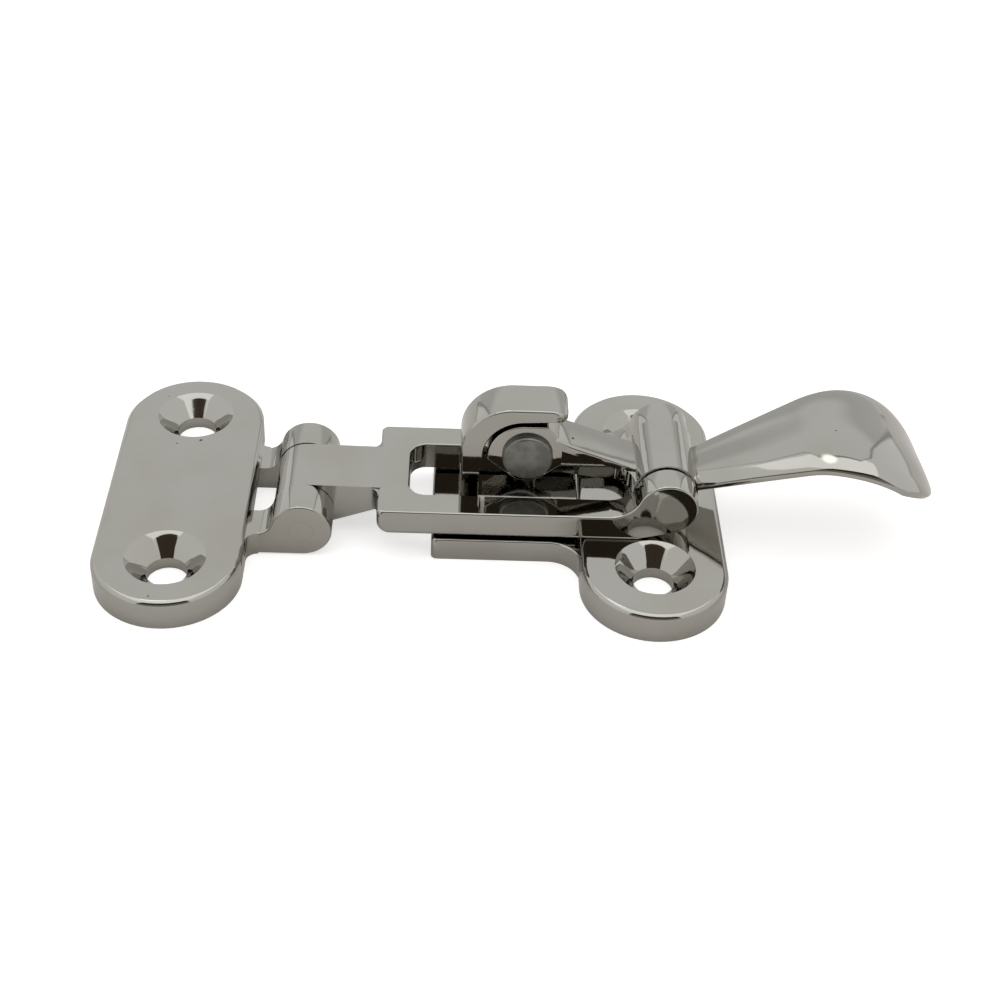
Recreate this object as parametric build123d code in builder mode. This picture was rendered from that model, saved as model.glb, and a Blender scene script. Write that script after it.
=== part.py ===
"""Over centre toggle latch: two stadium plates, a swinging link frame and a cam lever.

Millimetres. The origin is the middle of the keeper's two screw holes, on the mounting
plane. +X runs from the hinge plate to the tip of the handle, +Z is up, and the whole
latch is symmetric about the plane Y = 0. The latch is modelled closed.
"""

from build123d import *
import os
from math import asin, atan2, cos, degrees, hypot, radians, sin, sqrt, tan

os.makedirs("parts", exist_ok=True)

# ---------------------------------------------------------------- driving dimensions

# Fixing plates
plate_length = 48.0
plate_width = 19.0
plate_thickness = 4.2
plate_edge_chamfer = 0.8
plate_spacing = 62.45

# Countersunk screw holes
screw_clearance = 5.3
countersink_diameter = 10.4
countersink_angle = 90.0
keeper_screw_spacing = 29.0
hinge_screw_spacing = 30.4

# Pins and their fits
pin_diameter = 3.2
pin_fit = 0.01
running_fit = 0.05
side_clearance = 0.1

# Common width of the ears, the link frame and the keeper's tongue
body_width = 18.6

# Hinge end: two ears on the plate, one knuckle on the link
hinge_setback = 7.15
ear_radius = 4.0
ear_slot = 9.0
ear_root_radius = 2.2
ear_side_radius = 1.5
casting_edge_chamfer = 0.3
blend_overlap = 0.6
near = 0.01
knuckle_relief = 0.1

# Link frame
link_length = 47.4
eye_lift = 5.15
frame_thickness = 3.5
frame_clearance = 0.85
frame_keel = 0.45
frame_keel_gap = 0.5
frame_setback = 9.8
frame_corner_radius = 0.9
frame_toe_radius = 1.7
neck_blend_radius = 1.3
neck_blend_inset = 0.1
neck_overlap = 1.0
neck_toe_setback = 3.4
neck_toe_height = 1.85
window_width = 10.6
window_wall = 4.05
window_corner_radius = 2.2
eye_radius = 3.95
eye_blend_radius = 4.0
eye_toe_setback = 3.0

# Keeper: tongue and hook
tongue_length = 19.35
tongue_step = 0.1
tongue_corner_radius = 0.8
tongue_blend_radius = 4.2
tongue_blend_end = 14.0
hook_width = 6.1
hook_edge_chamfer = 0.35
hook_throat_chamfer = 0.2
hook_stem = 2.9
hook_crown = 2.0
hook_shoulder_radius = 6.8
hook_flat = 2.4
hook_brow_radius = 4.0
hook_reach = 5.0
hook_relief = 0.4
hook_relief_drop = 1.0
hook_lift_angle = 3.0
hook_tip_radius = 1.6

# Cam lever
lever_arm = 18.25
lever_rise = 3.55
nose_width = 6.0
nose_radius = 4.8
nose_clearance = 0.55
nose_shift = 0.45
nose_drop = 0.25
nose_heel_radius = 3.2
nose_heel_drop = 1.1
nose_heel_angle = 40.0
nose_back = 4.45
nose_shoulder = 2.5
nose_cheek_bottom = -1.55
nose_edge_chamfer = 0.25
nose_pin_diameter = 6.6
nose_pin_proud = 0.9
nose_pin_chamfer = 0.25
blade_web = 3.6
blade_skin = 1.2
blade_slope = 20.0
blade_rise = 0.6
blade_fall_angle = 55.0
blade_fall_radius = 5.0
blade_edge_chamfer = 0.4
flank_radius = 2.4
flank_drop = 0.9
barrel_radius = 4.2

# Handle
handle_ramp_angle = 25.0
handle_bend_radius = 13.45
handle_crest_reach = 23.0
handle_crest_rise = 8.02
handle_width = 19.5
handle_flare_lead = 3.6
handle_root_setback = 1.0
handle_flare_angle = 14.8
handle_flare_radius = 30.5
handle_flare_overrun = 12.0
handle_thickness = 0.95
handle_crown_radius = 45.0
handle_edge_chamfer = 0.25
handle_tip_tilt = 61.0
handle_tip_length = 2.1
handle_tip_margin = 0.25

# ---------------------------------------------------------------- derived places

plate_lip = plate_thickness - plate_edge_chamfer
hinge_plate_edge = -plate_spacing + plate_width / 2
hinge_x = hinge_plate_edge + hinge_setback
hinge_z = ear_radius
lever_x = hinge_x + link_length
lever_z = hinge_z + eye_lift
nose_x = lever_x - lever_arm
nose_z = lever_z + lever_rise
seat_x = nose_x - nose_shift
seat_z = nose_z - nose_drop
hole_radius = pin_diameter / 2 + pin_fit
bore_radius = pin_diameter / 2 + running_fit
frame_bottom = plate_lip + frame_clearance
frame_top = frame_bottom + frame_thickness
frame_left = hinge_x + frame_setback
window_left = frame_left + window_wall
knuckle_radius = ear_radius - knuckle_relief
knuckle_width = ear_slot - 2 * side_clearance
barrel_width = window_width - 2 * side_clearance
hook_bore = nose_radius + nose_clearance
hook_inner = seat_x - hook_bore
hook_outer = hook_inner - hook_stem
hook_top = seat_z + hook_bore + hook_crown
hook_tip = nose_x + hook_reach

# ---------------------------------------------------------------- hinge plate

ear_blend_z = plate_lip + ear_root_radius
ear_blend_x = hinge_x - sqrt((ear_radius + ear_root_radius) ** 2 - (ear_blend_z - hinge_z) ** 2)
ear_blend_angle = degrees(atan2(hinge_z - ear_blend_z, hinge_x - ear_blend_x))
root_end = hinge_plate_edge + ear_side_radius
root_start = hinge_plate_edge - blend_overlap
hinge_holes = [(-plate_spacing, side * hinge_screw_spacing / 2, plate_thickness) for side in (1, -1)]

with BuildPart() as hinge_plate:
    # Stadium plate with a softened top edge
    with BuildSketch(Plane.XY):
        with Locations((-plate_spacing, 0)):
            SlotOverall(plate_length, plate_width, rotation=90)
    extrude(amount=plate_thickness)
    chamfer(hinge_plate.faces().sort_by(Axis.Z)[-1].edges(), plate_edge_chamfer)

    # Two ears with the slot for the link's knuckle between them
    with BuildSketch(Plane.XZ.offset(-body_width / 2)):
        with BuildLine():
            Line((root_start, 0), (hinge_x, 0))
            CenterArc((hinge_x, hinge_z), ear_radius, -90, 270 + ear_blend_angle)
            CenterArc((ear_blend_x, ear_blend_z), ear_root_radius, ear_blend_angle, -90 - ear_blend_angle)
            Line((ear_blend_x, plate_lip), (root_start, plate_lip))
            Line((root_start, plate_lip), (root_start, 0))
        make_face()
    extrude(amount=body_width)
    with BuildSketch(Plane.XY):
        with Locations((hinge_plate_edge, 0)):
            Rectangle(2 * hinge_setback, ear_slot, align=(Align.MIN, Align.CENTER))
    extrude(amount=3 * ear_radius, mode=Mode.SUBTRACT)
    ear_rims = hinge_plate.edges().filter_by(lambda e: abs(abs(e.center().Y) - body_width / 2) < near)
    ear_rims = ear_rims.filter_by(lambda e: e.center().X > ear_blend_x and e.center().Z > plate_lip)
    chamfer(ear_rims.filter_by(GeomType.CIRCLE), casting_edge_chamfer)

    # Rounded roots where the ears leave the plate
    with BuildSketch(Plane.XY):
        for side in (1, -1):
            with BuildLine():
                root_y = side * body_width / 2
                root_in = root_y - side * blend_overlap
                root_out = root_y + side * ear_side_radius
                Line((hinge_plate_edge, root_out), (root_start, root_out))
                Line((root_start, root_out), (root_start, root_in))
                Line((root_start, root_in), (root_end, root_in))
                Line((root_end, root_in), (root_end, root_y))
                CenterArc((root_end, root_out), ear_side_radius, -side * 90, -side * 90)
            make_face()
    extrude(amount=plate_lip)

    # Countersunk screw holes
    with Locations(hinge_holes):
        CounterSinkHole(screw_clearance / 2, countersink_diameter / 2, plate_thickness, countersink_angle)

    # Hole for the hinge pin through both ears
    with BuildSketch(Plane.XZ.offset(-body_width)):
        with Locations((hinge_x, hinge_z)):
            Circle(hole_radius)
    extrude(amount=2 * body_width, mode=Mode.SUBTRACT)

hinge_plate.part.label = "hinge_plate"
export_step(hinge_plate.part, "parts/hinge_plate.step")

# ---------------------------------------------------------------- hinge pin

with BuildPart() as hinge_pin:
    with BuildSketch(Plane.XZ.offset(-body_width / 2)):
        with Locations((hinge_x, hinge_z)):
            Circle(pin_diameter / 2)
    extrude(amount=body_width)

hinge_pin.part.label = "hinge_pin"
export_step(hinge_pin.part, "parts/hinge_pin.step")

# ---------------------------------------------------------------- link frame

keel_x = -plate_width / 2 - frame_keel_gap
keel_bottom = frame_bottom - frame_keel
neck_start = frame_left - neck_blend_radius
neck_end = frame_left + neck_overlap
toe_x = frame_left + frame_toe_radius
toe_z = keel_bottom + frame_toe_radius
eye_blend_z = frame_top + eye_blend_radius
eye_blend_x = lever_x - sqrt((eye_radius + eye_blend_radius) ** 2 - (eye_blend_z - lever_z) ** 2)
eye_blend_angle = degrees(atan2(lever_z - eye_blend_z, lever_x - eye_blend_x))
eye_toe_x = lever_x - eye_toe_setback
eye_toe_reach = hypot(eye_toe_setback, lever_z - frame_bottom)
eye_toe_slope = degrees(atan2(lever_z - frame_bottom, eye_toe_setback) - asin(eye_radius / eye_toe_reach))
eye_toe_tangent_x = lever_x + eye_radius * sin(radians(eye_toe_slope))
eye_toe_tangent_z = lever_z - eye_radius * cos(radians(eye_toe_slope))
eye_sweep = eye_toe_slope - eye_blend_angle - 270
frame_reach = lever_x + 2 * eye_radius
window_reach = frame_reach + eye_radius

with BuildPart() as link_frame:
    # Frame seen from above, open between its two arms
    with BuildSketch(Plane.XY):
        with Locations(((frame_left + frame_reach) / 2, 0)):
            Rectangle(frame_reach - frame_left, body_width)
        with BuildSketch(mode=Mode.SUBTRACT) as window:
            with Locations(((window_left + window_reach) / 2, 0)):
                Rectangle(window_reach - window_left, window_width)
            fillet(window.vertices().group_by(Axis.X)[0], window_corner_radius)
    extrude(amount=4 * eye_radius)

    # Side view: flat bar rising into the eyes of the lever pin
    with BuildSketch(Plane.XZ.offset(-body_width)):
        with BuildLine():
            Line((frame_left, frame_top), (eye_blend_x, frame_top))
            CenterArc((eye_blend_x, eye_blend_z), eye_blend_radius, -90, 90 + eye_blend_angle)
            CenterArc((lever_x, lever_z), eye_radius, 180 + eye_blend_angle, eye_sweep)
            Line((eye_toe_tangent_x, eye_toe_tangent_z), (eye_toe_x, frame_bottom))
            Line((eye_toe_x, frame_bottom), (keel_x, frame_bottom))
            Line((keel_x, frame_bottom), (keel_x, keel_bottom))
            Line((keel_x, keel_bottom), (toe_x, keel_bottom))
            CenterArc((toe_x, toe_z), frame_toe_radius, -90, -90)
            Line((frame_left, toe_z), (frame_left, frame_top))
        make_face()
    extrude(amount=2 * body_width, mode=Mode.INTERSECT)
    fillet(link_frame.edges().filter_by(Axis.Z).group_by(Axis.X)[0], frame_corner_radius)
    frame_rims = link_frame.edges().filter_by(lambda e: e.bounding_box().min.Z > frame_top - near)
    frame_rims = frame_rims.filter_by(lambda e: e.bounding_box().size.X > frame_corner_radius / 3)
    chamfer(frame_rims, casting_edge_chamfer)

    # Neck and knuckle
    with BuildSketch(Plane.XZ.offset(-knuckle_width / 2)):
        with Locations((hinge_x, hinge_z)):
            Circle(knuckle_radius)
        with BuildLine():
            Polyline(
                (hinge_x, hinge_z + knuckle_radius),
                (neck_end, frame_top),
                (neck_end, frame_bottom + frame_toe_radius),
                (frame_left, frame_bottom),
                (hinge_x + neck_toe_setback, neck_toe_height),
                (hinge_x, hinge_z),
                close=True,
            )
        make_face()
    extrude(amount=knuckle_width)
    with BuildSketch(Plane.XY.offset(frame_bottom + 2 * neck_blend_inset)):
        for side in (1, -1):
            with BuildLine():
                neck_y = side * knuckle_width / 2
                neck_in = neck_y - side * blend_overlap
                neck_out = neck_y + side * neck_blend_radius
                Line((frame_left, neck_out), (frame_left + blend_overlap, neck_out))
                Line((frame_left + blend_overlap, neck_out), (frame_left + blend_overlap, neck_in))
                Line((frame_left + blend_overlap, neck_in), (neck_start, neck_in))
                Line((neck_start, neck_in), (neck_start, neck_y))
                CenterArc((neck_start, neck_out), neck_blend_radius, -side * 90, side * 90)
            make_face()
    extrude(amount=frame_thickness - 3 * neck_blend_inset)

    # Running bore of the knuckle and holes of the eyes
    with BuildSketch(Plane.XZ.offset(-body_width)):
        with Locations((hinge_x, hinge_z)):
            Circle(bore_radius)
        with Locations((lever_x, lever_z)):
            Circle(hole_radius)
    extrude(amount=2 * body_width, mode=Mode.SUBTRACT)

link_frame.part.label = "link_frame"
export_step(link_frame.part, "parts/link_frame.step")

# ---------------------------------------------------------------- lever pin

with BuildPart() as lever_pin:
    with BuildSketch(Plane.XZ.offset(-body_width / 2)):
        with Locations((lever_x, lever_z)):
            Circle(pin_diameter / 2)
    extrude(amount=body_width)

lever_pin.part.label = "lever_pin"
export_step(lever_pin.part, "parts/lever_pin.step")

# ---------------------------------------------------------------- keeper hook

tongue_left = -plate_width / 2 - tongue_length
hook_arc_x = seat_x - hook_bore * sin(radians(hook_lift_angle))
hook_arc_z = seat_z + hook_bore * cos(radians(hook_lift_angle))
hook_tip_z = hook_arc_z + (hook_tip - hook_arc_x) * tan(radians(hook_lift_angle))
hook_shoulder_x = hook_outer + hook_shoulder_radius
hook_shoulder_z = hook_top - hook_shoulder_radius
hook_back = hook_inner - hook_relief
hook_back_z = seat_z - hook_relief_drop
brow_x = nose_x + hook_flat
brow_angle = degrees(asin((hook_tip - brow_x) / hook_brow_radius))
flare_x = -plate_width / 2 - tongue_blend_radius * cos(radians(tongue_blend_end))
flare_y = body_width / 2 + tongue_blend_radius
flare_root_y = flare_y - tongue_blend_radius * sin(radians(tongue_blend_end))
tongue_thickness = plate_lip - tongue_step
brow_tip_z = hook_top - hook_brow_radius * (1 - cos(radians(brow_angle)))
hook_root_z = tongue_thickness / 2
tongue_end = hook_inner - blend_overlap
keeper_holes = [(0, side * keeper_screw_spacing / 2, plate_thickness) for side in (1, -1)]

with BuildPart() as keeper_hook:
    # Hook that catches the lever's nose
    with BuildSketch(Plane.XZ.offset(-hook_width / 2)):
        with BuildLine():
            Line((hook_back, hook_root_z), (hook_back, hook_back_z))
            Line((hook_back, hook_back_z), (hook_inner, seat_z))
            CenterArc((seat_x, seat_z), hook_bore, 180, hook_lift_angle - 90)
            Line((hook_arc_x, hook_arc_z), (hook_tip, hook_tip_z))
            Line((hook_tip, hook_tip_z), (hook_tip, brow_tip_z))
            CenterArc((brow_x, hook_top - hook_brow_radius), hook_brow_radius, 90 - brow_angle, brow_angle)
            Line((brow_x, hook_top), (hook_shoulder_x, hook_top))
            CenterArc((hook_shoulder_x, hook_shoulder_z), hook_shoulder_radius, 90, 90)
            Line((hook_outer, hook_shoulder_z), (hook_outer, hook_root_z))
            Line((hook_outer, hook_root_z), (hook_back, hook_root_z))
        make_face()
    extrude(amount=hook_width)
    hook_rims = keeper_hook.edges().filter_by(lambda e: abs(abs(e.center().Y) - hook_width / 2) < near)
    chamfer(hook_rims.filter_by(lambda e: e.bounding_box().max.Z > hook_top - near), hook_edge_chamfer)
    throat_rims = keeper_hook.edges().filter_by(GeomType.CIRCLE)
    throat_rims = throat_rims.filter_by(lambda e: abs(abs(e.center().Y) - hook_width / 2) < near)
    throat_rims = throat_rims.filter_by(lambda e: abs(e.radius - hook_bore) < near)
    chamfer(throat_rims, hook_throat_chamfer)
    with BuildSketch(Plane.XY) as hook_plan:
        with Locations(((hook_outer + hook_tip) / 2, 0)):
            Rectangle(hook_tip - hook_outer, hook_width)
        fillet(hook_plan.vertices().group_by(Axis.X)[-1], hook_tip_radius)
    extrude(amount=2 * hook_top, mode=Mode.INTERSECT)

    # Stadium plate with a softened top edge
    with BuildSketch(Plane.XY):
        SlotOverall(plate_length, plate_width, rotation=90)
    extrude(amount=plate_thickness)
    keeper_rim = keeper_hook.edges().filter_by(lambda e: abs(e.center().Z - plate_thickness) < near)
    chamfer(keeper_rim.filter_by(lambda e: e.center().X > -plate_width / 2 - near), plate_edge_chamfer)

    # Tongue with flared roots
    with BuildSketch(Plane.XY) as tongue:
        with Locations(((tongue_left + hook_inner) / 2, 0)):
            Rectangle(hook_inner - tongue_left, body_width)
        fillet(tongue.vertices().group_by(Axis.X)[0], tongue_corner_radius)
        with BuildLine():
            Line((flare_x, body_width / 2), (tongue_end, body_width / 2))
            Line((tongue_end, body_width / 2), (tongue_end, -body_width / 2))
            Line((tongue_end, -body_width / 2), (flare_x, -body_width / 2))
            CenterArc((flare_x, -flare_y), tongue_blend_radius, 90, tongue_blend_end - 90)
            Line((-plate_width / 2, -flare_root_y), (0, -flare_root_y))
            Line((0, -flare_root_y), (0, flare_root_y))
            Line((0, flare_root_y), (-plate_width / 2, flare_root_y))
            CenterArc((flare_x, flare_y), tongue_blend_radius, -tongue_blend_end, tongue_blend_end - 90)
        make_face()
    extrude(amount=tongue_thickness)
    tongue_rims = keeper_hook.edges().filter_by(lambda e: abs(e.center().Z - tongue_thickness) < near)
    tongue_rims = tongue_rims.filter_by(lambda e: abs(e.center().Y) > hook_width / 2)
    tongue_rims = tongue_rims.filter_by(lambda e: e.center().X < -plate_width / 2)
    chamfer(tongue_rims, casting_edge_chamfer)

    # Countersunk screw holes
    with Locations(keeper_holes):
        CounterSinkHole(screw_clearance / 2, countersink_diameter / 2, plate_thickness, countersink_angle)

keeper_hook.part.label = "keeper_hook"
export_step(keeper_hook.part, "parts/keeper_hook.step")

# ---------------------------------------------------------------- cam lever

nose_top = seat_z + nose_radius
shoulder_x = nose_x + nose_shoulder
blade_fall = tan(radians(blade_slope))
blade_end_z = lever_z + blade_rise
cheek_x = nose_x + nose_back
heel_z = nose_z - nose_heel_drop
heel_dx = nose_heel_radius * sin(radians(nose_heel_angle))
heel_dz = nose_heel_radius * cos(radians(nose_heel_angle))
heel_rise = tan(radians(nose_heel_angle))
nose_toe_x = seat_x - nose_radius
nose_toe_z = heel_z - heel_dz + (nose_x - heel_dx - nose_toe_x) * heel_rise
step_fall = tan(radians(blade_fall_angle))
bend_x = (nose_top - blade_end_z + step_fall * shoulder_x - blade_fall * lever_x) / (step_fall - blade_fall)
blade_bend_z = nose_top - (bend_x - shoulder_x) * step_fall
cheek_z = blade_end_z + (lever_x - cheek_x) * blade_fall - blade_skin
flank_end = lever_x - barrel_radius
flank_start = flank_end - flank_radius
blade_rim_level = blade_end_z + lever_x * blade_fall - near
flank_y = barrel_width / 2 - flank_radius
flank_z = blade_end_z + (lever_x - flank_start) * blade_fall - flank_drop
crest_x = lever_x + handle_crest_reach
crest_z = lever_z + handle_crest_rise
bend_z = crest_z - handle_bend_radius
ramp = radians(handle_ramp_angle)
ramp_end_x = crest_x - handle_bend_radius * sin(ramp)
ramp_end_z = bend_z + handle_bend_radius * cos(ramp)
ramp_start_x = lever_x + handle_root_setback
ramp_start_z = ramp_end_z - (ramp_end_x - ramp_start_x) * tan(ramp)
sheet_half = handle_width / 2 + 2 * handle_edge_chamfer
sheet_drop = handle_crown_radius - sqrt(handle_crown_radius ** 2 - sheet_half ** 2)
sheet_foot = sheet_drop + handle_thickness
bend_sweep = handle_tip_tilt + 2 * handle_ramp_angle
tip_angle = radians(handle_tip_tilt)
flare = radians(handle_flare_angle)
flare_out_x = ramp_end_x + handle_flare_lead
flare_out_y = handle_width / 2 - handle_flare_radius * (1 - cos(flare))
neck_root_y = flare_out_y - (flare_out_x - lever_x) * tan(flare)
flare_from = 90 + handle_flare_angle
flare_sweep = handle_flare_angle + handle_flare_overrun
flare_arc_x = flare_out_x + handle_flare_radius * sin(flare)
flare_arc_y = handle_width / 2 - handle_flare_radius
flare_end_x = flare_arc_x + handle_flare_radius * sin(radians(handle_flare_overrun))
flare_end_y = flare_arc_y + handle_flare_radius * cos(radians(handle_flare_overrun))
tip_radius = handle_width / 2 + handle_tip_margin
tip_arc_x = handle_tip_length - tip_radius

with BuildPart() as cam_lever:
    # Handle: a crowned strip that climbs from the barrel and bends over at its tip
    with BuildLine(Plane.XZ) as handle_path:
        Line((ramp_start_x, ramp_start_z), (ramp_end_x, ramp_end_z))
        CenterArc((crest_x, bend_z), handle_bend_radius, 90 + handle_ramp_angle, -bend_sweep)
    strip_plane = Plane((ramp_start_x, 0, ramp_start_z), x_dir=(0, 1, 0), z_dir=(cos(ramp), 0, sin(ramp)))
    with BuildSketch(strip_plane):
        with BuildLine():
            ThreePointArc((-sheet_half, -sheet_drop), (0, 0), (sheet_half, -sheet_drop))
            Line((sheet_half, -sheet_drop), (sheet_half, -sheet_foot))
            ThreePointArc((sheet_half, -sheet_foot), (0, -handle_thickness), (-sheet_half, -sheet_foot))
            Line((-sheet_half, -sheet_foot), (-sheet_half, -sheet_drop))
        make_face()
    sweep(path=handle_path.wires()[0])

    # Flanks that spread from the blade to the barrel's ends
    with BuildSketch(Plane.XZ.offset(-barrel_width / 2)):
        with BuildLine():
            Polyline(
                (flank_start, flank_z),
                (lever_x, blade_end_z),
                (lever_x, lever_z - barrel_radius / 2),
                (flank_start, lever_z),
                close=True,
            )
        make_face()
    extrude(amount=barrel_width)

    # Outline from above: flanks, barrel and a handle that flares towards its tip
    with BuildSketch(Plane.XY):
        with BuildLine():
            Line((flank_start, 0), (flank_start, flank_y))
            CenterArc((flank_start, barrel_width / 2), flank_radius, -90, 90)
            Line((flank_end, barrel_width / 2), (lever_x, barrel_width / 2))
            Line((lever_x, barrel_width / 2), (lever_x, neck_root_y))
            Line((lever_x, neck_root_y), (flare_out_x, flare_out_y))
            CenterArc((flare_arc_x, flare_arc_y), handle_flare_radius, flare_from, -flare_sweep)
            Line((flare_end_x, flare_end_y), (2 * crest_x, flare_end_y))
            Line((2 * crest_x, flare_end_y), (2 * crest_x, 0))
            Line((2 * crest_x, 0), (flank_start, 0))
        make_face()
        mirror(about=Plane.XZ)
    extrude(amount=3 * crest_z, mode=Mode.INTERSECT)

    # Rounded tip, cut square to the bend
    tip_plane = Plane(
        (crest_x + handle_bend_radius * sin(tip_angle), 0, bend_z + handle_bend_radius * cos(tip_angle)),
        x_dir=(cos(tip_angle), 0, -sin(tip_angle)),
        z_dir=(sin(tip_angle), 0, cos(tip_angle)),
    )
    with BuildSketch(tip_plane):
        with Locations((tip_arc_x, 0)):
            Circle(tip_radius)
        with Locations((tip_arc_x - crest_x, 0)):
            Rectangle(2 * crest_x, 2 * tip_radius)
    extrude(amount=2 * crest_x, both=True, mode=Mode.INTERSECT)
    handle_rims = cam_lever.edges().filter_by(lambda e: e.geom_type not in (GeomType.LINE, GeomType.CIRCLE))
    handle_rims = handle_rims.filter_by(lambda e: e.length > 2 * handle_thickness)
    chamfer(handle_rims.filter_by(lambda e: e.center().X > lever_x + barrel_radius), handle_edge_chamfer)

    # Barrel on the lever pin
    with BuildSketch(Plane.XZ.offset(-barrel_width / 2)):
        with Locations((lever_x, lever_z)):
            Circle(barrel_radius)
    extrude(amount=barrel_width)

    # Blade between the barrel and the nose: a skin on a narrower web
    with BuildSketch(Plane.XZ.offset(-nose_width / 2)) as blade:
        with BuildLine():
            Polyline(
                (shoulder_x, nose_top),
                (bend_x, blade_bend_z),
                (lever_x, blade_end_z),
                (lever_x, blade_end_z - blade_skin),
                (cheek_x, cheek_z),
                (nose_x, cheek_z),
                (nose_x, nose_top),
                close=True,
            )
        make_face()
        fillet(blade.vertices().filter_by(lambda v: abs(v.X - bend_x) < near), blade_fall_radius)
    extrude(amount=nose_width)
    blade_rims = cam_lever.edges().filter_by(lambda e: shoulder_x < e.center().X < flank_end)
    blade_rims = blade_rims.filter_by(lambda e: abs(abs(e.center().Y) - nose_width / 2) < near)
    blade_rims = blade_rims.filter_by(lambda e: e.center().Z + e.center().X * blade_fall > blade_rim_level)
    chamfer(blade_rims, blade_edge_chamfer)
    with BuildSketch(Plane.XZ.offset(-blade_web / 2)):
        with BuildLine():
            Polyline(
                (nose_x, cheek_z),
                (cheek_x, cheek_z + blade_skin / 2),
                (lever_x, blade_end_z - blade_skin / 2),
                (lever_x, lever_z - barrel_radius / 2),
                (nose_x, heel_z - nose_heel_radius / 2),
                close=True,
            )
        make_face()
    extrude(amount=blade_web)

    # Nose that bears in the hook
    with BuildSketch(Plane.XZ.offset(-nose_width / 2)):
        with BuildLine():
            CenterArc((seat_x, seat_z), nose_radius, 180, -90)
            Line((seat_x, nose_top), (shoulder_x, nose_top))
            Line((shoulder_x, nose_top), (cheek_x, cheek_z))
            Line((cheek_x, cheek_z), (cheek_x, nose_z + nose_cheek_bottom))
            Line((cheek_x, nose_z + nose_cheek_bottom), (nose_x + heel_dx, heel_z - heel_dz))
            CenterArc((nose_x, heel_z), nose_heel_radius, nose_heel_angle - 90, -2 * nose_heel_angle)
            Line((nose_x - heel_dx, heel_z - heel_dz), (nose_toe_x, nose_toe_z))
            Line((nose_toe_x, nose_toe_z), (seat_x - nose_radius, seat_z))
        make_face()
    extrude(amount=nose_width)
    nose_rims = cam_lever.edges().filter_by(lambda e: abs(abs(e.center().Y) - nose_width / 2) < near)
    nose_rims = nose_rims.filter_by(lambda e: e.center().X < nose_x and e.length > 4 * nose_edge_chamfer)
    chamfer(nose_rims, nose_edge_chamfer)

    # Running bore of the barrel and hole for the nose pin
    with BuildSketch(Plane.XZ.offset(-handle_width)):
        with Locations((lever_x, lever_z)):
            Circle(bore_radius)
        with Locations((nose_x, nose_z)):
            Circle(nose_pin_diameter / 2 + pin_fit)
    extrude(amount=2 * handle_width, mode=Mode.SUBTRACT)

cam_lever.part.label = "cam_lever"
export_step(cam_lever.part, "parts/cam_lever.step")

# ---------------------------------------------------------------- nose pin

nose_pin_end = nose_width / 2 + nose_pin_proud

with BuildPart() as nose_pin:
    with BuildSketch(Plane.XZ.offset(-nose_pin_end)):
        with Locations((nose_x, nose_z)):
            Circle(nose_pin_diameter / 2)
    extrude(amount=2 * nose_pin_end)
    chamfer(nose_pin.edges().filter_by(GeomType.CIRCLE), nose_pin_chamfer)

nose_pin.part.label = "nose_pin"
export_step(nose_pin.part, "parts/nose_pin.step")
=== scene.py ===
"""Looks of the over centre toggle latch: polished stainless steel on a pale studio floor."""

import logging
import math
from dataclasses import dataclass, field
from enum import Enum
from typing import Optional, Union

import bmesh
import bpy
from bmesh.types import BMEdge, BMesh, BMVert
from bpy.types import Material, NodeSocket, NodeTree, Object
from mathutils import Matrix, Vector


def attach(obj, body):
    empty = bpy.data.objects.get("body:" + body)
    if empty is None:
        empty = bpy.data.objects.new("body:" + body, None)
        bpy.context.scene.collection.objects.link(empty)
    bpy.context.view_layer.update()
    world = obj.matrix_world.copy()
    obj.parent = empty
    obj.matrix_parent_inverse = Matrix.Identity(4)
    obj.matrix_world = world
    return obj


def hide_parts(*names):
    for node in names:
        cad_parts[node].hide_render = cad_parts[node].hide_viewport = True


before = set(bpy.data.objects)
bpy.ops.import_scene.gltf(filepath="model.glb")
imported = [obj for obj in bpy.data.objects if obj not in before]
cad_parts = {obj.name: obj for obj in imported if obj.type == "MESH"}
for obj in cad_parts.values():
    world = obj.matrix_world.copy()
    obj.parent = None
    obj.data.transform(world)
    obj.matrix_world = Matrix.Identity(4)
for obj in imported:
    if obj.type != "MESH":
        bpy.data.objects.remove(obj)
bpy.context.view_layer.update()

MM = 0.001
WHITE = (1.0, 1.0, 1.0, 1.0)

# Places in millimetres: screw holes by x and y, pins by x and z.
HINGE_HOLES = ((-62.45, 15.2), (-62.45, -15.2))
KEEPER_HOLES = ((0.0, 14.5), (0.0, -14.5))
HINGE_AXIS = (-45.8, 4.0)
LEVER_AXIS = (1.6, 9.15)
# Far below the latch, for a piece that is rounded over at every rim.
NO_AXIS = (0.0, -50.0)

# The Mix node's sockets for colours, which share their names with its other ones.
MIX_FIRST = 6
MIX_SECOND = 7
MIX_RESULT = 2

log = logging.getLogger("toggle_latch")

Number = Union[int, float]
Value = Union["Socket", Number]
Colour = Union["Socket", tuple]


class Body(Enum):
    """The latch's rigid bodies."""

    PLATES = "plates"
    LINK = "link"
    LEVER = "lever"


class Slot(Enum):
    """The record's material slots."""

    POLISHED = "polished_steel"
    PIN = "pin_steel"


# ---------------------------------------------------------------- shader maths


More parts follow.
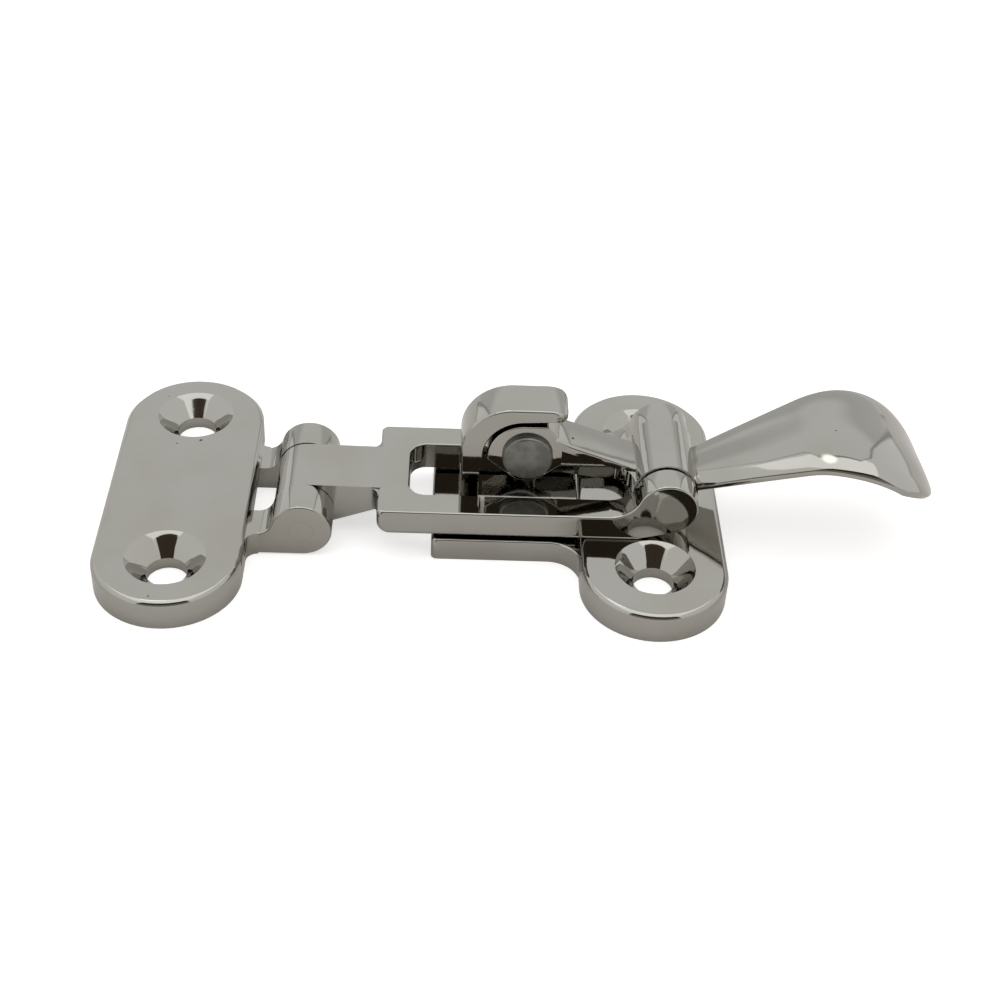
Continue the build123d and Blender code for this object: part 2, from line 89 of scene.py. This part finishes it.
class Socket:
    """One output socket of a material's nodes, with arithmetic that adds Math nodes."""

    def __init__(self, shader: "Shader", output: NodeSocket) -> None:
        """Wraps an output.

        Args:
            shader: The node builder that owns the output.
            output: The Blender output socket.
        """
        self.shader = shader
        self.output = output

    def _math(self, operation: str, first: Value, second: Value) -> "Socket":
        """Adds one Math node.

        Args:
            operation: The Math node's operation.
            first: Its first value.
            second: Its second value.

        Returns:
            The node's result.
        """
        return self.shader.node("ShaderNodeMath", {"operation": operation}, {0: first, 1: second})

    def __add__(self, other: Value) -> "Socket":
        """Sum of the socket and a value."""
        return self._math("ADD", self, other)

    def __radd__(self, other: Value) -> "Socket":
        """Sum of a value and the socket."""
        return self._math("ADD", other, self)

    def __sub__(self, other: Value) -> "Socket":
        """The socket less a value."""
        return self._math("SUBTRACT", self, other)

    def __rsub__(self, other: Value) -> "Socket":
        """A value less the socket."""
        return self._math("SUBTRACT", other, self)

    def __mul__(self, other: Value) -> "Socket":
        """Product of the socket and a value."""
        return self._math("MULTIPLY", self, other)

    def __rmul__(self, other: Value) -> "Socket":
        """Product of a value and the socket."""
        return self._math("MULTIPLY", other, self)

    def __truediv__(self, other: Value) -> "Socket":
        """The socket divided by a value."""
        return self._math("DIVIDE", self, other)

    def smaller(self, other: Value) -> "Socket":
        """The smaller of the socket and a value."""
        return self._math("MINIMUM", self, other)

    def larger(self, other: Value) -> "Socket":
        """The larger of the socket and a value."""
        return self._math("MAXIMUM", self, other)

    def size(self) -> "Socket":
        """The socket without its sign."""
        return self._math("ABSOLUTE", self, 0.0)

    def ramp(self, low: Number, high: Number) -> "Socket":
        """Maps the span from low to high on to 0 to 1 with smooth ends.

        Args:
            low: The value that becomes 0.
            high: The value that becomes 1; it may be below low.

        Returns:
            The mapped value, held between 0 and 1.
        """
        settings = {"interpolation_type": "SMOOTHSTEP"}
        inputs = {"Value": self, "From Min": low, "From Max": high}
        return self.shader.node("ShaderNodeMapRange", settings, inputs)


class Shader:
    """Builds the nodes of one material or of the world."""

    def __init__(self, tree: NodeTree) -> None:
        """Takes over an empty node tree.

        Args:
            tree: The node tree, which is cleared first.
        """
        self.tree = tree
        self.tree.nodes.clear()

    def node(
        self,
        kind: str,
        settings: Optional[dict] = None,
        inputs: Optional[dict] = None,
        output: Union[int, str] = 0,
    ) -> Socket:
        """Adds a node.

        Args:
            kind: The node's type name.
            settings: Properties set before its inputs.
            inputs: Values or sockets by input name or number.
            output: Which output is returned.

        Returns:
            The chosen output.
        """
        made = self.tree.nodes.new(kind)
        for name, value in (settings or {}).items():
            setattr(made, name, value)
        for name, value in (inputs or {}).items():
            target = made.inputs[name]
            if isinstance(value, Socket):
                self.tree.links.new(value.output, target)
            else:
                target.default_value = value
        return Socket(self, made.outputs[output])

    def place(self) -> Socket:
        """Object coordinates."""
        return self.node("ShaderNodeTexCoord", output="Object")

    def noise(
        self,
        per_metre: float,
        detail: float = 2.0,
        stretch: tuple = (1.0, 1.0, 1.0),
        where: tuple = (0.0, 0.0, 0.0),
    ) -> Socket:
        """Noise that ranges from 0 to 1.

        Args:
            per_metre: Its scale.
            detail: Its octaves.
            stretch: How much finer it is along each axis.
            where: The shift of its place.

        Returns:
            The noise.
        """
        mapping = {"Vector": self.place(), "Scale": stretch, "Location": where}
        inputs = {
            "Vector": self.node("ShaderNodeMapping", None, mapping),
            "Scale": per_metre,
            "Detail": detail,
        }
        return self.node("ShaderNodeTexNoise", None, inputs)

    def blend(self, factor: Value, first: Colour, second: Colour) -> Socket:
        """Mixes two colours.

        Args:
            factor: 0 gives the first colour and 1 the second.
            first: A colour or a socket.
            second: A colour or a socket.

        Returns:
            The mixed colour.
        """
        inputs = {0: factor, MIX_FIRST: first, MIX_SECOND: second}
        return self.node("ShaderNodeMix", {"data_type": "RGBA"}, inputs, MIX_RESULT)

    def bump(
        self,
        height: Value,
        distance: float,
        strength: float,
        normal: Optional[Socket] = None,
    ) -> Socket:
        """A normal tilted by a height.

        Args:
            height: The height, 0 to 1.
            distance: What a height of 1 stands for, in metres.
            strength: How much of it is used.
            normal: The normal that it starts from.

        Returns:
            The normal.
        """
        inputs = {"Height": height, "Distance": distance, "Strength": strength}
        if normal is not None:
            inputs["Normal"] = normal
        return self.node("ShaderNodeBump", None, inputs)

    def output(self, kind: str, surface: Socket) -> None:
        """Adds the output node.

        Args:
            kind: The output node's type name.
            surface: What it shows.
        """
        made = self.tree.nodes.new(kind)
        self.tree.links.new(surface.output, made.inputs["Surface"])

    def surface(self, inputs: dict) -> None:
        """Ends a material in a Principled surface.

        Args:
            inputs: Values or sockets by input name.
        """
        self.output("ShaderNodeOutputMaterial", self.node("ShaderNodeBsdfPrincipled", None, inputs))


def new_material(name: str) -> tuple[Material, Shader]:
    """Makes an empty node material.

    Args:
        name: Its name.

    Returns:
        The material and its node builder.
    """
    material = bpy.data.materials.new(name)
    material.use_nodes = True
    return material, Shader(material.node_tree)


# ---------------------------------------------------------------- finishes


@dataclass(frozen=True)
class Pit:
    """A casting pit or a nick in the polish, by its place and radius in millimetres."""

    x: float
    y: float
    z: float
    radius: float


@dataclass(frozen=True)
class PolishedSteel:
    """Mirror polished cast stainless steel.

    The scales are those of noise, per metre. Ripple, grain and pit depth are heights in
    metres. A span holds the values between which a tint, the haze or a pit sets in.
    """

    name: str = "polished_stainless"
    colour: tuple = (0.425, 0.418, 0.390, 1.0)
    warm_colour: tuple = (0.400, 0.390, 0.355, 1.0)
    # Near-black painted shade for the inside of the pits.
    pit_painted_shade_colour: tuple = (0.030, 0.026, 0.022, 1.0)
    roughness: float = 0.055
    detail: float = 3.0
    cloud_scale: float = 90.0
    cloud_span: tuple = (0.35, 0.7)
    haze: float = 0.05
    haze_scale: float = 420.0
    haze_stretch: tuple = (0.25, 1.0, 1.0)
    haze_span: tuple = (0.45, 0.8)
    ripple: float = 0.00010
    ripple_scale: float = 120.0
    ripple_shift: tuple = (3.1, 1.7, 0.4)
    ripple_strength: float = 0.5
    grain: float = 0.00001
    grain_scale: float = 2600.0
    grain_strength: float = 0.12
    pit_shade: float = 0.85
    pit_roughness: float = 0.4
    pit_depth: float = 0.0001
    pit_strength: float = 0.6
    pit_ragged: float = 1.6
    pit_ragged_scale: float = 1500.0
    pit_span: tuple = (1.0, 0.5)
    pit_beyond: float = 10.0
    pits: tuple = (
        Pit(-64.18, 8.49, 4.2, 0.22),
        Pit(-61.01, 9.34, 4.2, 0.28),
        Pit(-66.81, 19.39, 4.2, 0.14),
        Pit(-63.46, -22.63, 4.2, 0.16),
        Pit(23.27, -1.46, 17.06, 0.20),
        Pit(-10.74, -0.95, 14.24, 0.30),
    )

    def material(self) -> Material:
        """Makes the material.

        Returns:
            The material.
        """
        material, shader = new_material(self.name)
        cloud = shader.noise(self.cloud_scale, self.detail)
        streak = shader.noise(self.haze_scale, self.detail, self.haze_stretch)
        ripple = shader.noise(self.ripple_scale, where=self.ripple_shift)
        grain = shader.noise(self.grain_scale)
        colour = shader.blend(cloud.ramp(*self.cloud_span), self.colour, self.warm_colour)
        roughness = self.roughness + self.haze * streak.ramp(*self.haze_span) * cloud
        normal = shader.bump(ripple, self.ripple, self.ripple_strength)
        normal = shader.bump(grain, self.grain, self.grain_strength, normal)
        # The pits get painted shade in their colour, near black; their added roughness and shallow
        # dent are real.
        pit_and_shade_mask = self._pit_mask(shader)
        colour = shader.blend(pit_and_shade_mask * self.pit_shade, colour, self.pit_painted_shade_colour)
        roughness = roughness + pit_and_shade_mask * self.pit_roughness
        normal = shader.bump(1.0 - pit_and_shade_mask, self.pit_depth, self.pit_strength, normal)
        shader.surface(
            {"Base Color": colour, "Metallic": 1.0, "Roughness": roughness, "Normal": normal}
        )
        return material

    def _pit_mask(self, shader: Shader) -> Socket:
        """The mask of the pits, ragged at their rims.

        Args:
            shader: The material's node builder.

        Returns:
            1 in a pit and 0 elsewhere.
        """
        ragged = shader.noise(self.pit_ragged_scale, self.detail)
        # Distances are in radii of each pit, and start out beyond all of them.
        nearest: Value = self.pit_beyond
        for pit in self.pits:
            ends = {0: shader.place(), 1: (pit.x * MM, pit.y * MM, pit.z * MM)}
            away = shader.node("ShaderNodeVectorMath", {"operation": "DISTANCE"}, ends, "Value")
            nearest = (away / (pit.radius * MM)).smaller(nearest)
        return (nearest + (ragged - 0.5) * self.pit_ragged).ramp(*self.pit_span)


@dataclass(frozen=True)
class GroundPinSteel:
    """Dull ground end of a riveted steel pin.

    The scales are those of noise, per metre, and the relief is a height in metres.
    """

    name: str = "ground_pin_steel"
    colour: tuple = (0.17, 0.172, 0.155, 1.0)
    light_colour: tuple = (0.25, 0.252, 0.235, 1.0)
    roughness: float = 0.38
    roughness_range: float = 0.14
    metallic: float = 0.85
    cloud_scale: float = 520.0
    cloud_detail: float = 4.0
    cloud_span: tuple = (0.35, 0.65)
    grain_scale: float = 2600.0
    grain_detail: float = 3.0
    grain_stretch: tuple = (1.0, 1.0, 0.35)
    relief: float = 0.00006
    relief_strength: float = 0.35

    def material(self) -> Material:
        """Makes the material.

        Returns:
            The material.
        """
        material, shader = new_material(self.name)
        cloud = shader.noise(self.cloud_scale, self.cloud_detail)
        grain = shader.noise(self.grain_scale, self.grain_detail, self.grain_stretch)
        colour = shader.blend(cloud.ramp(*self.cloud_span), self.colour, self.light_colour)
        roughness = self.roughness + self.roughness_range * (grain - 0.5)
        normal = shader.bump(grain * 0.5 + cloud * 0.5, self.relief, self.relief_strength)
        shader.surface(
            {
                "Base Color": colour,
                "Metallic": self.metallic,
                "Roughness": roughness,
                "Normal": normal,
            }
        )
        return material


# ---------------------------------------------------------------- pieces


@dataclass
class CastPiece:
    """A smooth copy of a solid, with its flat faces kept flat and its rims rounded over.

    Angles are in degrees and lengths in millimetres, apart from the merging distance in
    metres. The rims of a countersink are shallower than the others, and the seam between
    a pin and its bore is left alone.
    """

    node: str
    body: Body
    slot: Slot
    rim_angle: float = 50.0
    rim_radius: float = 0.14
    rim_segments: int = 2
    flat_angle: float = 0.05
    merge: float = 1e-7
    holes: tuple = ()
    hole_radius: float = 5.3
    hole_angle: float = 35.0
    bore: tuple = NO_AXIS
    bore_radius: float = 1.8
    flat_weight: int = 100

    def _is_rim(self, edge: BMEdge) -> bool:
        """Whether an edge is rounded over.

        Args:
            edge: The edge.

        Returns:
            True where it is sharp, or is the mouth or the foot of a countersink.
        """
        if len(edge.link_faces) != 2:
            return False
        middle = (edge.verts[0].co + edge.verts[1].co) / (2.0 * MM)
        if math.hypot(middle.x - self.bore[0], middle.z - self.bore[1]) < self.bore_radius:
            return False
        angle = math.degrees(edge.calc_face_angle(0.0))
        if angle > self.rim_angle:
            return True
        near_hole = any(
            math.hypot(middle.x - x, middle.y - y) < self.hole_radius for x, y in self.holes
        )
        return near_hole and angle > self.hole_angle

    def load(self) -> BMesh:
        """Reads the solid's mesh, merged and free of edges inside its flat faces.

        Returns:
            The bmesh of the copy.
        """
        shape = bmesh.new()
        shape.from_mesh(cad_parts[self.node].data)
        bmesh.ops.remove_doubles(shape, verts=shape.verts, dist=self.merge)
        limit = math.radians(self.flat_angle)
        bmesh.ops.dissolve_limit(shape, angle_limit=limit, verts=shape.verts, edges=shape.edges)
        return shape

    def soften(self, shape: BMesh) -> None:
        """Rounds over every rim.

        Args:
            shape: The bmesh of the copy.
        """
        bmesh.ops.bevel(
            shape,
            geom=[edge for edge in shape.edges if self._is_rim(edge)],
            offset=self.rim_radius * MM,
            offset_type="OFFSET",
            affect="EDGES",
            segments=self.rim_segments,
            profile=0.5,
            material=-1,
            clamp_overlap=True,
            loop_slide=True,
        )

    def finish(self, shape: BMesh, material: Material) -> Object:
        """Turns the bmesh into the piece that stands for the solid.

        Args:
            shape: The bmesh of the copy, which is freed.
            material: Its finish.

        Returns:
            The new object.
        """
        limit = math.radians(self.rim_angle)
        for edge in shape.edges:
            edge.smooth = len(edge.link_faces) == 2 and edge.calc_face_angle(0.0) < limit
        for face in shape.faces:
            face.smooth = True
        mesh = bpy.data.meshes.new(self.node + "_polished")
        shape.to_mesh(mesh)
        shape.free()
        mesh.materials.append(material)
        piece = bpy.data.objects.new(self.node + "_polished", mesh)
        bpy.context.scene.collection.objects.link(piece)
        weighted = piece.modifiers.new("flat_faces", "WEIGHTED_NORMAL")
        weighted.keep_sharp = True
        weighted.weight = self.flat_weight
        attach(piece, self.body.value)
        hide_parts(self.node)
        log.info("%s: %d faces", piece.name, len(mesh.polygons))
        return piece

    def build(self, material: Material) -> Object:
        """Makes the copy and lets it stand for the solid.

        Args:
            material: Its finish.

        Returns:
            The new object.
        """
        shape = self.load()
        self.soften(shape)
        return self.finish(shape, material)


@dataclass
class HingePlate:
    """The plate with the two ears, and the pin pressed into them."""

    plate: CastPiece = field(
        default_factory=lambda: CastPiece(
            "hinge_plate", Body.PLATES, Slot.POLISHED, holes=HINGE_HOLES, bore=HINGE_AXIS
        )
    )
    pin: CastPiece = field(
        default_factory=lambda: CastPiece(
            "hinge_pin", Body.PLATES, Slot.POLISHED, bore=HINGE_AXIS
        )
    )

    def build(self, polished: Material) -> None:
        """Builds both pieces.

        Args:
            polished: The polished finish.
        """
        self.plate.build(polished)
        self.pin.build(polished)


@dataclass
class LinkFrame:
    """The swinging frame and the lever's pin."""

    link: CastPiece = field(
        default_factory=lambda: CastPiece("link_frame", Body.LINK, Slot.POLISHED, bore=LEVER_AXIS)
    )
    pin: CastPiece = field(
        default_factory=lambda: CastPiece("lever_pin", Body.LINK, Slot.POLISHED, bore=LEVER_AXIS)
    )

    def build(self, polished: Material) -> None:
        """Builds both pieces.

        Args:
            polished: The polished finish.
        """
        self.link.build(polished)
        self.pin.build(polished)


@dataclass
class Keeper:
    """The keeper plate with its tongue and hook."""

    keeper: CastPiece = field(
        default_factory=lambda: CastPiece(
            "keeper_hook", Body.PLATES, Slot.POLISHED, holes=KEEPER_HOLES
        )
    )

    def build(self, polished: Material) -> None:
        """Builds the keeper.

        Args:
            polished: The polished finish.
        """
        self.keeper.build(polished)


def smooth_step(share: float) -> float:
    """Eases a share in and out.

    Args:
        share: A number from 0 to 1.

    Returns:
        The eased share.
    """
    return share * share * (3.0 - 2.0 * share)


@dataclass
class HandleSheet:
    """The lever's thin handle: nearly flat across its middle and rolled over along its sides.

    Sizes are in millimetres and angles in degrees. The sheet climbs straight from the
    barrel and bends over at its crest; from above it flares to its full width and ends in
    a round tip. The near side is rolled further than the far one.
    """

    root_x: float = 4.0
    ramp_angle: float = 25.0
    bend_radius: float = 13.45
    crest_x: float = 24.6
    crest_z: float = 17.17
    half_width: float = 9.75
    flare_angle: float = 14.8
    flare_radius: float = 30.5
    flare_lead: float = 3.6
    tip_tilt: float = 61.0
    tip_length: float = 2.095
    tip_margin: float = 0.25
    thickness: float = 0.95
    rim_crown: float = 45.0
    middle_crown: float = 80.0
    roll_width: float = 2.6
    crest_roll: float = 1.8
    crest_roll_x: float = 20.5
    crest_roll_reach: float = 7.5
    near_roll_depth: float = 0.6
    far_roll_depth: float = 0.2
    rim_radius: float = 0.55
    foot_radius: float = 0.12
    columns: int = 160
    rows: int = 72

    def width_at(self, x: float) -> float:
        """Half of the sheet's width from above.

        Args:
            x: The place along the latch.

        Returns:
            The half width.
        """
        flare = math.radians(self.flare_angle)
        ramp = math.radians(self.ramp_angle)
        start = self.crest_x - self.bend_radius * math.sin(ramp) + self.flare_lead
        arc_x = start + self.flare_radius * math.sin(flare)
        arc_y = self.half_width - self.flare_radius
        if x < start:
            straight = (start - x) * math.tan(flare)
            return arc_y + self.flare_radius * math.cos(flare) - straight
        return arc_y + math.sqrt(self.flare_radius**2 - (x - arc_x) ** 2)

    def lean_at(self, along: float) -> tuple[float, float, float]:
        """The sheet's middle line in the side view.

        Args:
            along: The length along the line, 0 where the bend starts.

        Returns:
            Its x, its z and how far it leans forward, in radians.
        """
        ramp = math.radians(self.ramp_angle)
        lean = -ramp + max(along, 0.0) / self.bend_radius
        straight = min(along, 0.0)
        x = self.crest_x + self.bend_radius * math.sin(lean) + straight * math.cos(ramp)
        z = self.crest_z + self.bend_radius * (math.cos(lean) - 1.0) + straight * math.sin(ramp)
        return x, z, lean

    @staticmethod
    def rounding(inset: float, radius: float) -> float:
        """How much a rounded rim takes off.

        Args:
            inset: The distance from the outline.
            radius: The rim's radius.

        Returns:
            The depth taken off there.
        """
        left = max(radius - inset, 0.0)
        return radius - math.sqrt(max(radius**2 - left**2, 0.0))

    def roll_width_at(self, x: float) -> float:
        """How wide the rolled side is, widest before the crest.

        Args:
            x: The place along the latch.

        Returns:
            The width of the roll.
        """
        away = min(abs(x - self.crest_roll_x) / self.crest_roll_reach, 1.0)
        return self.roll_width + self.crest_roll * (1.0 - smooth_step(away))

    def drop_at(self, y: float, half: float, roll_width: float) -> float:
        """How far the top lies below the middle line, with the rims where the solid has them.

        Args:
            y: The place across the sheet.
            half: Half of the width there.
            roll_width: How wide the rolled side is there.

        Returns:
            The drop, square to the middle line.
        """
        rolled = max(0.0, 1.0 - (half - abs(y)) / roll_width)
        rim = self.rim_crown - math.sqrt(self.rim_crown**2 - half**2)
        crown = (y * y - half * half) / (2.0 * self.middle_crown)
        near = smooth_step(min(max(0.5 - y / half, 0.0), 1.0))
        depth = self.far_roll_depth + (self.near_roll_depth - self.far_roll_depth) * near
        return rim + crown + depth * (rolled * rolled - 1.0)

    def end_at(self, y: float) -> float:
        """Where the round tip ends the sheet.

        Args:
            y: The place across the sheet.

        Returns:
            The length along the middle line.
        """
        tip_radius = self.half_width + self.tip_margin
        forward = self.tip_length - tip_radius + math.sqrt(tip_radius**2 - y * y)
        reach = self.bend_radius - self.drop_at(y, self.half_width, self.roll_width)
        lean = math.radians(self.tip_tilt) + math.asin(forward / reach)
        return (lean + math.radians(self.ramp_angle)) * self.bend_radius

    def shape(self) -> BMesh:
        """Makes the sheet.

        Returns:
            Its bmesh, closed and with rounded rims.
        """
        shape = bmesh.new()
        bmesh.ops.create_grid(shape, x_segments=self.columns, y_segments=self.rows, size=1.0)
        ramp = math.radians(self.ramp_angle)
        bend_start = self.crest_x - self.bend_radius * math.sin(ramp)
        root = (self.root_x - bend_start) / math.cos(ramp)
        inward: dict[BMVert, Vector] = {}
        for vert in shape.verts:
            # The rows crowd towards the sides and the columns towards the tip,
            # where the rims are rounded.
            across = vert.co.y * (1.5 - 0.5 * vert.co.y**2)
            share = (vert.co.x + 1.0) / 2.0
            share = share * (2.0 - share)
            end = self.end_at(across * self.half_width)
            along = root + share * (end - root)
            x, z, lean = self.lean_at(along)
            half = self.width_at(x)
            drop = self.drop_at(across * half, half, self.roll_width_at(x))
            up = Vector((math.sin(lean), 0.0, math.cos(lean)))
            inset = min(half * (1.0 - abs(across)), end - along)
            rim = self.rounding(inset, self.rim_radius)
            foot = self.rounding(inset, self.foot_radius)
            vert.co = (Vector((x, across * half, z)) - up * (drop + rim)) * MM
            inward[vert] = up * ((rim + foot - self.thickness) * MM)
        self._thicken(shape, inward)
        return shape

    def _thicken(self, shape: BMesh, inward: dict[BMVert, Vector]) -> None:
        """Gives the sheet its underside.

        Args:
            shape: The bmesh of the top.
            inward: How far the underside lies from each point of the top.
        """
        places = {tuple(vert.co): move for vert, move in inward.items()}
        top = list(shape.faces)
        grown = bmesh.ops.extrude_face_region(shape, geom=top, use_keep_orig=True)
        for item in grown["geom"]:
            if isinstance(item, BMVert):
                item.co += places[tuple(item.co)]
        bmesh.ops.recalc_face_normals(shape, faces=shape.faces)


@dataclass
class CamLever:
    """The lever with its handle, and the riveted pin across its nose.

    The solid's own handle is cut off at a place in millimetres, with a tolerance in metres,
    and the sheet takes its place.
    """

    lever: CastPiece = field(
        default_factory=lambda: CastPiece("cam_lever", Body.LEVER, Slot.POLISHED)
    )
    handle: HandleSheet = field(default_factory=HandleSheet)
    pin: CastPiece = field(
        default_factory=lambda: CastPiece("nose_pin", Body.LEVER, Slot.PIN, rim_angle=40.0)
    )
    handle_cut_x: float = 5.805
    cut_tolerance: float = 1e-8

    def build(self, polished: Material, ground: Material) -> None:
        """Builds both pieces.

        Args:
            polished: The polished finish.
            ground: The dull finish of the pin's ends.
        """
        shape = self.lever.load()
        bmesh.ops.bisect_plane(
            shape,
            geom=list(shape.verts) + list(shape.edges) + list(shape.faces),
            dist=self.cut_tolerance,
            plane_co=(self.handle_cut_x * MM, 0.0, 0.0),
            plane_no=(1.0, 0.0, 0.0),
            clear_outer=True,
        )
        open_edges = [edge for edge in shape.edges if edge.is_boundary]
        bmesh.ops.holes_fill(shape, edges=open_edges, sides=0)
        self.lever.soften(shape)
        sheet = self.handle.shape()
        joined = bpy.data.meshes.new("handle_sheet")
        sheet.to_mesh(joined)
        sheet.free()
        shape.from_mesh(joined)
        bpy.data.meshes.remove(joined)
        self.lever.finish(shape, polished)
        self.pin.build(ground)


# ---------------------------------------------------------------- studio


@dataclass
class Studio:
    """The pale floor, the soft light round the latch and the camera.

    The light is a tent: a back panel with a seam round it, side panels, a ceiling with one
    soft lamp, and a dim opening in front. Levels are strengths of light. A corner is half
    of a panel's width and a top is its height, both seen from a distance of 1. The camera's
    place is in metres and its lens in millimetres.
    """

    camera_place: tuple = (-0.027395, -0.180474, 0.149490)
    camera_right: tuple = (0.9990368, -0.0069847, 0.0433201)
    camera_up: tuple = (-0.0291833, 0.6314879, 0.7748364)
    camera_forward: tuple = (0.0327681, 0.7753543, -0.6306758)
    lens: float = 62.10
    sensor_width: float = 36.0
    clip_start: float = 0.01
    floor_half: float = 1.5
    floor_colour: tuple = (0.69, 0.665, 0.65, 1.0)
    floor_glow: float = 0.62
    floor_glow_in_metal: float = 0.08
    back_level: float = 0.87
    back_fall: float = 0.20
    back_dip: float = 0.22
    back_dip_reach: float = 0.27
    back_dip_core: float = 0.13
    side_level: float = 0.93
    ceiling_level: float = 1.45
    ceiling_slope: float = 1.5
    lamp_level: float = 2.6
    lamp_way: tuple = (-0.179, 0.386, 0.905)
    lamp_reach: float = 0.13
    lamp_core: float = 0.06
    seam_level: float = 0.42
    horizon_level: float = 0.62
    horizon_low: float = 0.01
    horizon_high: float = 0.07
    back_corner: float = 0.69
    back_top: float = 1.9
    front_corner: float = 0.75
    front_top: float = 1.5
    seam_width: float = 0.035
    top_seam_width: float = 0.28
    low_room: float = 0.78
    low_room_top: float = 0.5
    low_room_edge: float = 0.06
    panel_edge: float = 0.02
    room_colour: tuple = (0.070, 0.054, 0.040, 1.0)
    wall_colour: tuple = (1.0, 1.0, 0.985, 1.0)

    def floor(self) -> None:
        """Lays the floor, which looks white and keeps the latch's shadow."""
        shape = bmesh.new()
        bmesh.ops.create_grid(shape, x_segments=1, y_segments=1, size=self.floor_half)
        mesh = bpy.data.meshes.new("studio_floor")
        shape.to_mesh(mesh)
        shape.free()
        floor = bpy.data.objects.new("studio_floor", mesh)
        bpy.context.scene.collection.objects.link(floor)
        material, shader = new_material("floor_paper")
        paper = shader.node("ShaderNodeBsdfDiffuse", None, {"Color": self.floor_colour})
        seen = shader.node("ShaderNodeLightPath", output="Is Camera Ray")
        through = shader.node("ShaderNodeLightPath", output="Is Transmission Ray")
        mirrored = shader.node("ShaderNodeLightPath", output="Is Glossy Ray")
        share = seen.larger(through).larger(mirrored * self.floor_glow_in_metal)
        inputs = {"Color": WHITE, "Strength": share * self.floor_glow}
        light = shader.node("ShaderNodeEmission", None, inputs)
        both = shader.node("ShaderNodeAddShader", None, {0: paper, 1: light})
        shader.output("ShaderNodeOutputMaterial", both)
        mesh.materials.append(material)

    def world(self) -> None:
        """Sets the light tent, which the camera itself sees as plain white."""
        world = bpy.data.worlds.new("studio_air")
        bpy.context.scene.world = world
        world.use_nodes = True
        shader = Shader(world.node_tree)
        way = shader.node("ShaderNodeTexCoord", output="Generated")
        side, back, up = (
            shader.node("ShaderNodeSeparateXYZ", None, {"Vector": way}, axis) for axis in "XYZ"
        )
        soft = {
            "Color": self._tent_colour(shader, side, back * -1.0, up),
            "Strength": self._tent_level(shader, way, side, back, up),
        }
        white = {"Color": WHITE, "Strength": 1.0}
        choices = {
            0: shader.node("ShaderNodeLightPath", output="Is Camera Ray"),
            1: shader.node("ShaderNodeBackground", None, soft),
            2: shader.node("ShaderNodeBackground", None, white),
        }
        shader.output("ShaderNodeOutputWorld", shader.node("ShaderNodeMixShader", None, choices))

    def _tent_colour(self, shader: Shader, side: Socket, front: Socket, up: Socket) -> Socket:
        """The tent's colour: pale, with a dim opening in front that is dimmest high up.

        Args:
            shader: The world's node builder.
            side: The direction's share to the side.
            front: Its share towards the front.
            up: Its share upwards.

        Returns:
            The colour.
        """
        high = (up - self.low_room_top * front).ramp(-self.low_room_edge, self.low_room_edge)
        room = self._opening(side, front, up, self.front_corner, self.front_top)
        room = room * (self.low_room + (1.0 - self.low_room) * high)
        return shader.blend(room, self.wall_colour, self.room_colour)

    def _tent_level(
        self, shader: Shader, way: Socket, side: Socket, back: Socket, up: Socket
    ) -> Socket:
        """How bright the tent is in a direction.

        Args:
            shader: The world's node builder.
            way: The direction.
            side: Its share to the side.
            back: Its share towards the back.
            up: Its share upwards.

        Returns:
            The strength of the light.
        """
        ceiling = (up - self.ceiling_slope * side.size()).ramp(0.0, self.panel_edge)
        ceiling = ceiling * (up - self.front_top * back.size()).ramp(0.0, self.panel_edge)
        level = self.side_level + (self.ceiling_level - self.side_level) * ceiling
        above = up.ramp(self.horizon_low, self.horizon_high)
        level = level * (self.horizon_level + (1.0 - self.horizon_level) * above)
        corner = self.back_corner + self.seam_width
        seam = self._opening(side, back, up, corner, self.back_top + self.top_seam_width)
        level = level + (self.seam_level - level) * seam
        panel = self._opening(side, back, up, self.back_corner, self.back_top)
        dip = (up - self.back_dip).size().ramp(self.back_dip_reach, self.back_dip_core)
        level = level + (self.back_level - self.back_fall * dip - level) * panel
        ends = {0: way, 1: self.lamp_way}
        away = shader.node("ShaderNodeVectorMath", {"operation": "DISTANCE"}, ends, "Value")
        lamp = away.ramp(self.lamp_reach, self.lamp_core)
        return level + (self.lamp_level - level) * lamp

    def _opening(
        self, side: Socket, forward: Socket, up: Socket, corner: float, top: float
    ) -> Socket:
        """The mask of an upright panel.

        Args:
            side: The direction's share to the side.
            forward: Its share towards the panel.
            up: Its share upwards.
            corner: Half of the panel's width, at a distance of 1.
            top: The panel's height, at a distance of 1.

        Returns:
            1 in the panel and 0 elsewhere.
        """
        beside = (forward * corner - side.size()).ramp(0.0, self.panel_edge)
        return beside * (forward * top - up).ramp(0.0, self.panel_edge)

    def camera(self) -> None:
        """Sets the camera."""
        data = bpy.data.cameras.new("studio_camera")
        data.lens = self.lens
        data.sensor_width = self.sensor_width
        data.clip_start = self.clip_start
        camera = bpy.data.objects.new("studio_camera", data)
        bpy.context.scene.collection.objects.link(camera)
        right, up, forward = map(Vector, (self.camera_right, self.camera_up, self.camera_forward))
        turn = Matrix((right, up, -forward)).transposed().to_4x4()
        camera.matrix_world = Matrix.Translation(Vector(self.camera_place)) @ turn
        bpy.context.scene.camera = camera

    def build(self) -> None:
        """Builds the studio."""
        self.floor()
        self.world()
        self.camera()
        bpy.context.scene.view_settings.view_transform = "Standard"


def main() -> None:
    """Builds the latch's looks and the studio."""
    logging.basicConfig(level=logging.INFO, format="%(name)s: %(message)s")
    polished = PolishedSteel().material()
    ground = GroundPinSteel().material()
    HingePlate().build(polished)
    LinkFrame().build(polished)
    Keeper().build(polished)
    CamLever().build(polished, ground)
    Studio().build()


if __name__ == "__main__":
    main()
